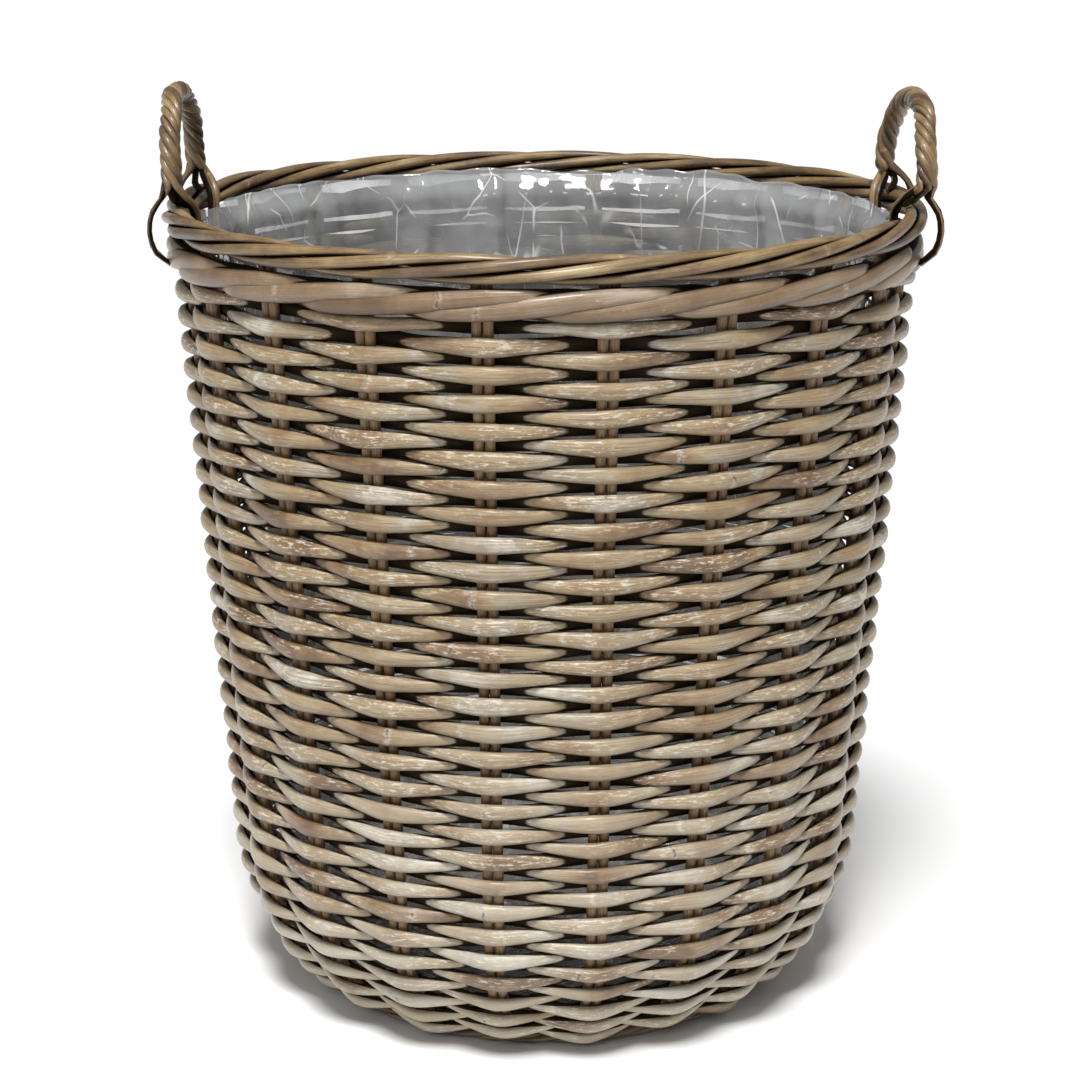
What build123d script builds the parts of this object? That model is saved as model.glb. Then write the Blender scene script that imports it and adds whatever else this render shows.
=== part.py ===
from build123d import *
import os
from math import cos, degrees, radians, sin, sqrt, tan

# Round wicker log basket: paired stakes, plain-woven wall, wale and roped border,
# two twisted ear handles and a film liner. Millimetres and degrees.
# Frame: origin on the ground under the middle of the base, +Z up, front towards -Y,
# handles at -X (left) and +X (right).

# Stakes: upright canes in pairs, inserted beside the base sticks and bent up the wall
STAKE_PAIRS = 20
STAKE_PITCH = 360 / STAKE_PAIRS
STAKE_D = 6.4
STAKE_SPACING = 6.7
STAKE_INNER_R = 87.0
STAKE_LEG_Z = 11.5
STAKE_BEND_R = 9.0
STAKE_TOP_Z = 514.7

# Wall line, the line that the stakes follow: an arc at the foot, then a cone
WALL_ARC_R = 133.5
WALL_ARC_CENTRE = (70.4, 110.3)
WALL_LEAN = 4.2
WEAVE_LEAN = 50.0
STAKE_LEAN = 46.0
WALL_HALF = 10.5

# Wall weave: one ridge for each woven row
WEAVE_START = 5.0
WEAVE_END = 488.0
WEAVE_BANDS = 8
ROWS_PER_BAND = 7
ROW_GROOVE = 2.0
ROW_PITCH = (WEAVE_END - WEAVE_START) / (WEAVE_BANDS * ROWS_PER_BAND)

# Base
BASE_STICK_D = 5.6
BASE_STICK_SPACING = 6.4
BASE_STICKS = 5
BASE_STICK_HALF = 142.0
BASE_STICK_BEND = 35.0
BASE_CROSS_HALF = 34.0
BASE_LOWER_Z = 9.2
BASE_UPPER_Z = 14.9
BASE_WEAVE_INNER_R = 48.0
BASE_WEAVE_OUTER_R = 144.5
BASE_WEAVE_Z = (4.9, 19.2)
BASE_WEAVE_ROUND = 3.0
FOOT_R = (146.0, 160.0)
FOOT_HEIGHT = 7.9
FOOT_ROUND = 3.0

# Wale under the border: two rods in front of the stakes and one behind
WALE_ROD = (7.4, 12.0)
WALE_FRONT_R = 241.5
WALE_BACK_R = 224.7
WALE_LOWER_Z = 496.5
WALE_UPPER_Z = 508.9
WALE_BACK_Z = 502.7

# Border: three strands laid as a rope
BORDER_R = 240.0
BORDER_STRAND_D = 8.6
BORDER_LOW_Z = 519.4
BORDER_TOP_Z = 527.6
BORDER_HALF_SPREAD = 4.6

# Handles: four strands each, two passing outside the border and two inside
HANDLE_AXIS_R = 240.0
HANDLE_HALF_SPAN = 61.0
HANDLE_TOP_Z = 603.0
HANDLE_BEND_R = 38.0
HANDLE_STRAND_D = 6.0
HANDLE_STRAND_OFFSET = 3.05
HANDLE_OPEN_Z = 553.0
HANDLE_FOOT_Z = 485.7
HANDLE_OUTSIDE_R = 252.6
HANDLE_INSIDE_R = 217.5
HANDLE_TUCK_R = 231.0
HANDLE_OUTSIDE_SPREAD = 3.2
HANDLE_INSIDE_SPREAD = 10.0
HANDLE_FOOT_BEND = 6.0
HANDLE_NECK_BEND = 14.0

# Liner: an open-topped film bag standing just inside the weave
LINER_OFFSET = 20.5
LINER_THICKNESS = 1.0
LINER_FLOOR_Z = 21.5
LINER_TOP_Z = 512.0
LINER_MID_LEAN = 25.0

CLEARANCE = 0.3

os.makedirs("parts", exist_ok=True)


def save(node, shape):
    """Write one node to its STEP file."""
    export_step(shape, f"parts/{node}.step")


def arc_point(lean, offset=0.0):
    """Radius and height on the foot arc where the wall leans by lean from upright."""
    radius = WALL_ARC_R + offset
    centre_r, centre_z = WALL_ARC_CENTRE
    return centre_r + radius * cos(radians(lean)), centre_z - radius * sin(radians(lean))


def wall_point(along, offset=0.0):
    """Radius and height at a distance up the wall line and an offset outwards."""
    turned = WALL_ARC_R * radians(WEAVE_LEAN - WALL_LEAN)
    if along <= turned:
        return arc_point(WEAVE_LEAN - degrees(along / WALL_ARC_R), offset)
    r, z = arc_point(WALL_LEAN, offset)
    rise = along - turned
    return r + rise * sin(radians(WALL_LEAN)), z + rise * cos(radians(WALL_LEAN))


def ring(profile):
    """Turn a closed profile drawn in the XZ plane once round the Z axis."""
    return revolve(profile, Axis.Z)


def stake_path():
    """Stake line in the XZ plane: in along the base, up the foot arc and up the cone."""
    foot_r, foot_z = arc_point(STAKE_LEAN)
    lean = radians(STAKE_LEAN)
    fall = (foot_z - STAKE_LEG_Z) / cos(lean)
    heel = (foot_r - fall * sin(lean), 0, STAKE_LEG_Z)
    reach = WALL_ARC_R * tan(radians(STAKE_LEAN - WALL_LEAN) / 2)
    elbow_r = foot_r + reach * sin(lean)
    elbow_z = foot_z + reach * cos(lean)
    top_r = elbow_r + (STAKE_TOP_Z - elbow_z) * tan(radians(WALL_LEAN))
    points = [
        (STAKE_INNER_R, 0, STAKE_LEG_Z),
        heel,
        (elbow_r, 0, elbow_z),
        (top_r, 0, STAKE_TOP_Z),
    ]
    return FilletPolyline(points, radius=[STAKE_BEND_R, WALL_ARC_R])


def sweep_section(path, section):
    """Sweep a flat section, drawn about the origin, along a path."""
    start = Plane(origin=path @ 0, x_dir=(0, 1, 0), z_dir=path % 0)
    return sweep(start * section, path=path)


def around(shape, index):
    """Turn a shape made at +X to the place of stake pair number index."""
    azimuth = -90 + STAKE_PITCH * (index + 0.5)
    return Rot(0, 0, azimuth) * shape


def stake_pair():
    """Two canes side by side, made at +X."""
    path = stake_path()
    canes = []
    for side in (-1, 1):
        section = Pos(side * STAKE_SPACING / 2, 0) * Circle(STAKE_D / 2)
        canes.append(sweep_section(path, section))
    return Compound(children=canes)


def stake_channel():
    """The space that a stake pair needs through the weave, made at +X."""
    height = STAKE_D + 2 * CLEARANCE
    section = SlotOverall(STAKE_SPACING + height, height)
    return sweep_section(stake_path(), section)


def ridge_chain(start, side):
    """Arcs along one face of a band, from its lower end up, one arc for each row."""
    arcs = []
    for row in range(ROWS_PER_BAND):
        low = start + row * ROW_PITCH
        ends = [low, low + ROW_PITCH]
        if row == 0:
            ends[0] += CLEARANCE / 2
        if row == ROWS_PER_BAND - 1:
            ends[1] -= CLEARANCE / 2
        groove = side * (WALL_HALF - ROW_GROOVE)
        first = wall_point(ends[0], groove)
        crest = wall_point(low + ROW_PITCH / 2, side * WALL_HALF)
        last = wall_point(ends[1], groove)
        points = [(r, 0, z) for r, z in (first, crest, last)]
        arcs.append(ThreePointArc(*points))
    return arcs


def weave_band(number, channels):
    """One band of the wall weave, ridged by its rows, with the stakes' channels."""
    start = WEAVE_START + number * ROWS_PER_BAND * ROW_PITCH
    outer = ridge_chain(start, 1)
    inner = ridge_chain(start, -1)
    foot = Line(inner[0] @ 0, outer[0] @ 0)
    head = Line(inner[-1] @ 1, outer[-1] @ 1)
    profile = make_face(Wire(outer + inner + [foot, head]))
    return ring(profile) - channels


def base_stick_paths(height):
    """Paths of the parallel sticks along X, fanned out to the rim of the base."""
    paths = []
    middle = (BASE_STICKS - 1) / 2
    for number in range(BASE_STICKS):
        place = number - middle
        fan = radians(place * STAKE_PITCH)
        tip_x = BASE_STICK_HALF * cos(fan)
        tip_y = BASE_STICK_HALF * sin(fan)
        side = place * BASE_STICK_SPACING
        points = [
            (-tip_x, tip_y, height),
            (-BASE_CROSS_HALF, side, height),
            (BASE_CROSS_HALF, side, height),
            (tip_x, tip_y, height),
        ]
        if place == 0:
            paths.append(Line(points[0], points[-1]))
        else:
            paths.append(FilletPolyline(points, radius=BASE_STICK_BEND))
    return paths


def round_cane(path, diameter):
    """One cane of a round section along a path."""
    start = Plane(origin=path @ 0, z_dir=path % 0)
    return sweep(start * Circle(diameter / 2), path=path)


def base_sticks(diameter):
    """The lower sticks along X and the upper sticks along Y, as two lists."""
    lower = [round_cane(path, diameter) for path in base_stick_paths(BASE_LOWER_Z)]
    upper = [round_cane(path, diameter) for path in base_stick_paths(BASE_UPPER_Z)]
    return lower, [Rot(0, 0, 90) * stick for stick in upper]


def base_weave(channels):
    """Woven disc of the base around its sticks and the stakes' inner ends."""
    low, high = BASE_WEAVE_Z
    width = BASE_WEAVE_OUTER_R - BASE_WEAVE_INNER_R
    middle = (BASE_WEAVE_OUTER_R + BASE_WEAVE_INNER_R) / 2
    outline = RectangleRounded(width, high - low, BASE_WEAVE_ROUND)
    return ring(Plane.XZ * Pos(middle, (low + high) / 2) * outline) - channels


def foot_wale():
    """Ring that the basket stands on, flat below and rounded above."""
    inner, outer = FOOT_R
    outline = Polyline(
        (inner, 0, 0),
        (outer, 0, 0),
        (outer, 0, FOOT_HEIGHT),
        (inner, 0, FOOT_HEIGHT),
        close=True,
    )
    section = make_face(outline)
    tops = [v for v in section.vertices() if v.Z > FOOT_HEIGHT / 2]
    return ring(fillet(tops, FOOT_ROUND))


def wale_rod(radius, height):
    """One wale rod as a closed ring."""
    width, depth = WALE_ROD
    section = Plane.XZ * Pos(radius, height) * Ellipse(width / 2, depth / 2)
    return ring(section)


def border_strand(radius, height):
    """One border strand as a closed ring."""
    section = Plane.XZ * Pos(radius, height) * Circle(BORDER_STRAND_D / 2)
    return ring(section)


def handle_strand(radial, lateral):
    """One strand of the right handle, from foot to foot.

    radial is +1 for a strand that passes outside the border and -1 for one inside.
    lateral is +1 or -1 across the rope's thickness in the plane of the loop.
    """
    axis_x = sqrt(HANDLE_AXIS_R**2 - HANDLE_HALF_SPAN**2)
    rope_x = axis_x + radial * HANDLE_STRAND_OFFSET
    rope_y = HANDLE_HALF_SPAN + lateral * HANDLE_STRAND_OFFSET
    top_z = HANDLE_TOP_Z + lateral * HANDLE_STRAND_OFFSET
    bend = HANDLE_BEND_R + lateral * HANDLE_STRAND_OFFSET
    foot_r = HANDLE_OUTSIDE_R
    spread = HANDLE_OUTSIDE_SPREAD
    if radial < 0:
        foot_r = HANDLE_INSIDE_R
        spread = HANDLE_INSIDE_SPREAD
    foot_y = HANDLE_HALF_SPAN + lateral * spread
    foot_x = sqrt(foot_r**2 - foot_y**2)
    tuck_x = sqrt(HANDLE_TUCK_R**2 - foot_y**2)
    half = [
        (tuck_x, foot_y, HANDLE_FOOT_Z),
        (foot_x, foot_y, HANDLE_FOOT_Z),
        (foot_x, foot_y, BORDER_TOP_Z + BORDER_STRAND_D),
        (rope_x, rope_y, HANDLE_OPEN_Z),
        (rope_x, rope_y, top_z),
    ]
    other = [(x, -y, z) for x, y, z in reversed(half)]
    radii = [HANDLE_FOOT_BEND, HANDLE_NECK_BEND, HANDLE_NECK_BEND, bend]
    path = FilletPolyline(half + other, radius=radii + radii[::-1])
    return round_cane(path, HANDLE_STRAND_D)


def liner():
    """Film bag: a flat floor, the foot curve and the wall, open at the top."""
    faces = []
    for offset in (-LINER_OFFSET, -LINER_OFFSET - LINER_THICKNESS):
        floor_z = LINER_FLOOR_Z - offset - LINER_OFFSET
        radius = WALL_ARC_R + offset
        lean = (WALL_ARC_CENTRE[1] - floor_z) / radius
        floor_r = WALL_ARC_CENTRE[0] + radius * sqrt(1 - lean**2)
        knee_r, knee_z = arc_point(WALL_LEAN, offset)
        middle = arc_point(LINER_MID_LEAN, offset)
        top_r = knee_r + (LINER_TOP_Z - knee_z) * tan(radians(WALL_LEAN))
        arc = ThreePointArc((floor_r, 0, floor_z), (middle[0], 0, middle[1]), (knee_r, 0, knee_z))
        edges = [
            Line((0, 0, floor_z), arc @ 0),
            arc,
            Line(arc @ 1, (top_r, 0, LINER_TOP_Z)),
            Line((top_r, 0, LINER_TOP_Z), (0, 0, LINER_TOP_Z)),
            Line((0, 0, LINER_TOP_Z), (0, 0, floor_z)),
        ]
        faces.append(make_face(Wire(edges)))
    return ring(faces[0] - faces[1])


channel = stake_channel()
channels = [around(channel, index) for index in range(STAKE_PAIRS)]

pair = stake_pair()
for index in range(STAKE_PAIRS):
    save(f"stake_pair_{index + 1:02d}", around(pair, index))

for number in range(WEAVE_BANDS):
    save(f"wall_weave_{number + 1}", weave_band(number, channels))

lower_sticks, upper_sticks = base_sticks(BASE_STICK_D)
save("base_sticks_lengthways", Compound(children=lower_sticks))
save("base_sticks_crossways", Compound(children=upper_sticks))
lower_channels, upper_channels = base_sticks(BASE_STICK_D + 2 * CLEARANCE)
save("base_weave", base_weave(lower_channels + upper_channels + channels))
save("foot_wale", foot_wale())

save("wale_rod_front_lower", wale_rod(WALE_FRONT_R, WALE_LOWER_Z))
save("wale_rod_front_upper", wale_rod(WALE_FRONT_R, WALE_UPPER_Z))
save("wale_rod_back", wale_rod(WALE_BACK_R, WALE_BACK_Z))

save("border_strand_outer", border_strand(BORDER_R + BORDER_HALF_SPREAD, BORDER_LOW_Z))
save("border_strand_inner", border_strand(BORDER_R - BORDER_HALF_SPREAD, BORDER_LOW_Z))
save("border_strand_top", border_strand(BORDER_R, BORDER_TOP_Z))

strand = 0
for radial in (1, -1):
    for lateral in (1, -1):
        strand += 1
        cane = handle_strand(radial, lateral)
        save(f"handle_right_strand_{strand}", cane)
        save(f"handle_left_strand_{strand}", Rot(0, 0, 180) * cane)

save("liner_film", liner())
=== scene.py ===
"""Looks of a round wicker log basket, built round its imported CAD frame.

Metres, +Z up, the front towards -Y and the two handles at -X and +X. The wall is plain
weave on paired stakes, under a three-rod wale and a roped border, with a film liner inside.
"""

import logging
import random
from dataclasses import dataclass
from enum import Enum
from math import asin, atan2, cos, pi, radians, sin, sqrt, tau
from typing import Callable, Sequence

import bmesh
import bpy
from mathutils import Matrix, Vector, noise


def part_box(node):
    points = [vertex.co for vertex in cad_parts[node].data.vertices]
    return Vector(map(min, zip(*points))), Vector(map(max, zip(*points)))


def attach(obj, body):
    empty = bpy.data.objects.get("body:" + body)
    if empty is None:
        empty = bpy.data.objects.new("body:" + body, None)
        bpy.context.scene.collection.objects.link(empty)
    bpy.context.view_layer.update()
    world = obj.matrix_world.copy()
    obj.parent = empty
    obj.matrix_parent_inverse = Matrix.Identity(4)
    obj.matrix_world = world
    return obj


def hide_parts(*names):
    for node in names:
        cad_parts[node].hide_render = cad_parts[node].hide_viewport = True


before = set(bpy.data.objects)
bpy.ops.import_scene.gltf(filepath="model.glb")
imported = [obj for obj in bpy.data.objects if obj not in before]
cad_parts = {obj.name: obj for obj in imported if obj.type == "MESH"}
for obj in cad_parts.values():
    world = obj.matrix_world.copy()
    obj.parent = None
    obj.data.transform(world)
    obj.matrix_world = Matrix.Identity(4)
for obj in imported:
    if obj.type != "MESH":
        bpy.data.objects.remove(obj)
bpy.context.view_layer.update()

LOG = logging.getLogger("log_basket")
BODY = "root"
STAKES = 20
STAKE_PITCH = tau / STAKES
FIRST_STAKE = -pi / 2 + STAKE_PITCH / 2

# a placer gives a point and how far it lies out of painted shade
Placer = Callable[[float, float], tuple[Vector, float]]
Socket = bpy.types.NodeSocket
Colour = tuple[float, float, float]
Material = bpy.types.Material


class Slot(Enum):
    """The material slots that the woven pieces and the film belong to."""

    WEAVE = "weave_cane"
    RIM = "rim_cane"
    LINER = "liner_film"


class Side(Enum):
    """The basket's two handle sides, as the sign of X."""

    LEFT = -1
    RIGHT = 1


# ---------------------------------------------------------------- materials


class NodeGraph:
    """A short-hand for building one material's nodes."""

    def __init__(self, name: str) -> None:
        """Start an empty material.

        Args:
            name: The material's name.
        """
        self.material = bpy.data.materials.new(name)
        self.material.use_nodes = True
        self.tree = self.material.node_tree
        self.tree.nodes.clear()

    def node(self, kind: str, **settings: object) -> bpy.types.Node:
        """Add a node and set its properties.

        Args:
            kind: The node's type name.
            **settings: Properties to set on it.

        Returns:
            The new node.
        """
        made = self.tree.nodes.new(kind)
        for key, value in settings.items():
            setattr(made, key, value)
        return made

    def link(self, source: Socket, target: Socket) -> None:
        """Join an output socket to an input socket."""
        self.tree.links.new(source, target)

    def feed(self, target: Socket, value: object) -> None:
        """Give an input either a link or a constant.

        Args:
            target: The input socket.
            value: A socket to link from, or a constant.
        """
        if isinstance(value, bpy.types.NodeSocket):
            self.link(value, target)
        else:
            target.default_value = value

    def maths(self, kind: str, first: object, second: object = 0.0, third: object = 0.0) -> Socket:
        """One Math node.

        Args:
            kind: The operation.
            first: Its first operand.
            second: Its second operand.
            third: Its third operand.

        Returns:
            The result's socket.
        """
        made = self.node("ShaderNodeMath", operation=kind)
        for target, value in zip(made.inputs, (first, second, third)):
            self.feed(target, value)
        return made.outputs[0]

    def times(self, first: object, second: object) -> Socket:
        """The product of two numbers or sockets."""
        return self.maths("MULTIPLY", first, second)

    def plus(self, first: object, second: object) -> Socket:
        """The sum of two numbers or sockets."""
        return self.maths("ADD", first, second)

    def minus(self, first: object, second: object) -> Socket:
        """The difference of two numbers or sockets."""
        return self.maths("SUBTRACT", first, second)

    def point(self, x: object, y: object, z: object) -> Socket:
        """A vector from three numbers or sockets."""
        made = self.node("ShaderNodeCombineXYZ")
        for target, value in zip(made.inputs, (x, y, z)):
            self.feed(target, value)
        return made.outputs[0]

    def stretch(self, place: tuple[Socket, Socket], along: float, around: float, layer: float) -> Socket:
        """Coordinates on a cane for one texture.

        Args:
            place: The cane's coordinates, along it and around it.
            along: Scale along the cane.
            around: Scale around it.
            layer: Third coordinate, which keeps the textures apart.

        Returns:
            The coordinates' socket.
        """
        return self.point(self.times(place[0], along), self.times(place[1], around), layer)

    def height(self) -> Socket:
        """Height above the floor."""
        split = self.node("ShaderNodeSeparateXYZ")
        self.link(self.node("ShaderNodeTexCoord").outputs["Object"], split.inputs[0])
        return split.outputs[2]

    def relief(self, height: Socket, strength: float, distance: float) -> Socket:
        """Bump the surface.

        Args:
            height: The relief, as a share of distance.
            strength: How strongly it shows.
            distance: Its depth.

        Returns:
            The normal's socket.
        """
        bump = self.node("ShaderNodeBump")
        bump.inputs["Strength"].default_value = strength
        bump.inputs["Distance"].default_value = distance
        self.link(height, bump.inputs["Height"])
        return bump.outputs[0]

    def noise(self, at: Socket, scale: float, detail: float = 2.0, rough: float = 0.55) -> Socket:
        """A noise value.

        Args:
            at: The coordinates.
            scale: The noise's scale.
            detail: Its octaves.
            rough: The strength of its finer octaves.

        Returns:
            The noise factor's socket.
        """
        made = self.node("ShaderNodeTexNoise")
        self.link(at, made.inputs["Vector"])
        made.inputs["Scale"].default_value = scale
        made.inputs["Detail"].default_value = detail
        made.inputs["Roughness"].default_value = rough
        return made.outputs["Fac"]

    def fit(self, value: Socket, low: float, high: float, to_low: float, to_high: float) -> Socket:
        """Map a range to another, clamped.

        Args:
            value: The number to map.
            low: The source range's low end.
            high: The source range's high end.
            to_low: The result at low.
            to_high: The result at high.

        Returns:
            The mapped number's socket.
        """
        made = self.node("ShaderNodeMapRange")
        for target, number in zip(made.inputs, (value, low, high, to_low, to_high)):
            self.feed(target, number)
        return made.outputs[0]

    def ramp(self, value: Socket, stops: Sequence[tuple[float, Sequence[float]]]) -> Socket:
        """A colour ramp.

        Args:
            value: The position on the ramp.
            stops: Pairs of place and colour.

        Returns:
            The colour's socket.
        """
        made = self.node("ShaderNodeValToRGB")
        self.link(value, made.inputs[0])
        elements = made.color_ramp.elements
        while len(elements) < len(stops):
            elements.new(0.5)
        for element, (place, colour) in zip(elements, stops):
            element.position = place
            element.color = (*colour, 1.0)
        return made.outputs[0]

    def mix(self, factor: object, first: object, second: object, kind: str = "MIX") -> Socket:
        """Mix two colours.

        Args:
            factor: How much of the second.
            first: The first colour.
            second: The second colour.
            kind: The blend type.

        Returns:
            The mixed colour's socket.
        """
        made = self.node("ShaderNodeMix", data_type="RGBA", blend_type=kind)
        self.feed(made.inputs[0], factor)
        for target, value in zip((made.inputs[6], made.inputs[7]), (first, second)):
            self.feed(target, (*value, 1.0) if isinstance(value, tuple) else value)
        return made.outputs[2]

    def surface(self, **inputs: object) -> Material:
        """Finish with a Principled shader.

        Args:
            **inputs: Socket names, with underscores for blanks, and their values.

        Returns:
            The material.
        """
        shader = self.node("ShaderNodeBsdfPrincipled")
        for key, value in inputs.items():
            self.feed(shader.inputs[key.replace("_", " ")], value)
        out = self.node("ShaderNodeOutputMaterial")
        self.link(shader.outputs[0], out.inputs["Surface"])
        return self.material


@dataclass(frozen=True)
class CaneFinish:
    """Rattan cane: tone along the cane, grain, flakes of bark, joints, painted shade in the crevices and
    on the undersides, and gloss.
    """

    name: str
    tones: tuple[tuple[float, Colour], ...]
    # dark of the grain, also the colour of the painted shade in crevices and on undersides
    grain_and_shade_dark: Colour
    flake: Colour
    roughness: tuple[float, float]
    grain_depth: float = 0.72
    node_spacing: float = 0.26
    flake_start: float = 0.64
    coat: float = 0.22
    specular: float = 0.45
    pale_foot: float = 0.0
    pale_heights: tuple[float, float] = (0.06, 0.30)
    follows_uv: bool = True
    # painted shade: where the crevice shade begins and ends, its strength, and the strength of the shade
    # on undersides
    crevice: tuple[float, float] = (0.255, 0.295)
    painted_shade: float = 0.97
    under: float = 0.75
    relief_depth: float = 0.0010

    def coordinates(self, graph: NodeGraph) -> tuple[Socket, Socket]:
        """Length along the cane in metres and place around it from 0 to 1.

        Args:
            graph: The graph to add to.

        Returns:
            The two sockets.
        """
        split = graph.node("ShaderNodeSeparateXYZ")
        if self.follows_uv:
            graph.link(graph.node("ShaderNodeUVMap", uv_map="UVMap").outputs[0], split.inputs[0])
            return split.outputs[0], split.outputs[1]
        source = graph.node("ShaderNodeTexCoord").outputs["Object"]
        graph.link(source, split.inputs[0])
        turn = graph.maths("ARCTAN2", split.outputs[1], split.outputs[0])
        flat = graph.node("ShaderNodeVectorMath", operation="LENGTH")
        graph.link(source, flat.inputs[0])
        return flat.outputs["Value"], graph.times(turn, 12.0)

    def joints(self, graph: NodeGraph, place: tuple[Socket, Socket]) -> tuple[Socket, Socket]:
        """The cane's joints, at uneven distances: a dark crack with a swollen rim.

        Args:
            graph: The graph to add to.
            place: The cane's coordinates.

        Returns:
            How much of a crack and of a swelling there is.
        """
        wander = graph.noise(graph.stretch(place, 30.0, 6.0, 0.0), 1.0)
        shifted = graph.plus(place[0], graph.times(wander, 0.007))
        cells = graph.node("ShaderNodeTexVoronoi", voronoi_dimensions="1D", feature="DISTANCE_TO_EDGE")
        graph.link(graph.maths("DIVIDE", shifted, self.node_spacing), cells.inputs["W"])
        cells.inputs["Scale"].default_value = 1.0
        cells.inputs["Randomness"].default_value = 0.75
        gap = graph.times(cells.outputs["Distance"], self.node_spacing)
        broken = graph.noise(graph.stretch(place, 9.0, 4.0, 5.0), 1.0)
        crack = graph.fit(gap, 0.0003, 0.0010, 0.6, 0.0)
        crack = graph.times(crack, graph.fit(broken, 0.50, 0.60, 0.0, 1.0))
        return crack, graph.fit(gap, 0.0004, 0.0032, 1.0, 0.0)

    def paint_shade(self, graph: NodeGraph, around: Socket, colour: Socket) -> tuple[Socket, Socket]:
        """Paint shade into the crevices between canes and onto the underside of each cane.

        Args:
            graph: The graph to add to.
            around: Place around the cane.
            colour: The cane's colour before the painted shade.

        Returns:
            The colour with its painted shade, and how far the cane lies out of the painted crevice shade.
        """
        # painted shade in the crevices, from the mesh's attribute of how far each point lies out of shade
        lit_share = graph.node("ShaderNodeAttribute", attribute_name="lit_share").outputs["Fac"]
        painted_shade = graph.fit(lit_share, *self.crevice, self.painted_shade, 0.0)
        colour = graph.mix(painted_shade, colour, tuple(0.10 * c for c in self.grain_and_shade_dark))
        # painted shade on the underside of each cane
        from_top = graph.maths("ABSOLUTE", graph.minus(around, 0.5))
        under = graph.fit(from_top, 0.31, 0.44, 0.0, self.under)
        return graph.mix(under, colour, tuple(0.4 * c for c in self.grain_and_shade_dark)), graph.minus(1.0, painted_shade)

    def build(self) -> Material:
        """Make the material.

        Returns:
            The cane material.
        """
        graph = NodeGraph(self.name)
        place = self.coordinates(graph)
        # slow changes of tone along each cane, and a finer mottling
        slow = graph.noise(graph.stretch(place, 1.0, 0.0, 0.0), 7.5, 2.0, 0.65)
        patches = graph.noise(graph.stretch(place, 60.0, 2.2, 0.0), 1.0, 3.0, 0.6)
        tone = graph.plus(graph.times(slow, 1.6), graph.times(patches, 0.5))
        colour = graph.ramp(graph.fit(tone, 0.82, 1.29, 0.0, 1.0), self.tones)
        # lengthwise grain
        grain = graph.noise(graph.stretch(place, 24.0, 30.0, 3.0), 1.0, 5.0, 0.72)
        colour = graph.mix(graph.fit(grain, 0.46, 0.59, 0.0, self.grain_depth), colour, self.grain_and_shade_dark)
        # whitish flakes of bark, thicker in some zones
        flakes = graph.noise(graph.stretch(place, 130.0, 17.0, 7.0), 1.0, 4.0, 0.75)
        zones = graph.noise(graph.stretch(place, 1.0, 0.08, 1.0), 17.0, 1.0, 0.5)
        flaked = graph.fit(flakes, self.flake_start - 0.07, self.flake_start, 0.0, 0.85)
        flaked = graph.times(flaked, graph.fit(zones, 0.42, 0.58, 0.12, 1.0))
        if self.pale_foot:
            pale = graph.fit(graph.height(), *self.pale_heights, self.pale_foot, 0.0)
            pale = graph.times(pale, graph.fit(slow, 0.40, 0.56, 0.1, 1.0))
            colour = graph.mix(pale, colour, tuple(0.86 * c for c in self.flake))
        colour = graph.mix(flaked, colour, self.flake)
        crack, swell = self.joints(graph, place)
        peeled = graph.times(swell, graph.fit(flakes, 0.42, 0.60, 0.0, 0.6))
        colour = graph.mix(peeled, colour, self.flake)
        colour = graph.mix(crack, colour, tuple(0.16 * c for c in self.grain_and_shade_dark))
        # the coat and the specular gloss are cut where the crevice shade is painted
        out_of_shade = 1.0
        if self.follows_uv:
            colour, out_of_shade = self.paint_shade(graph, place[1], colour)
        height = graph.plus(graph.times(grain, 0.6), graph.times(flakes, 0.55))
        height = graph.minus(graph.plus(height, graph.times(swell, 0.9)), graph.times(crack, 1.4))
        dullness = graph.plus(patches, graph.times(flaked, 0.4))
        return graph.surface(
            Base_Color=colour,
            Roughness=graph.fit(dullness, 0.3, 0.9, *self.roughness),
            Normal=graph.relief(height, 0.75, self.relief_depth),
            Coat_Weight=graph.times(out_of_shade, self.coat),
            Coat_Roughness=0.22,
            Specular_IOR_Level=graph.times(out_of_shade, self.specular),
        )


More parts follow.
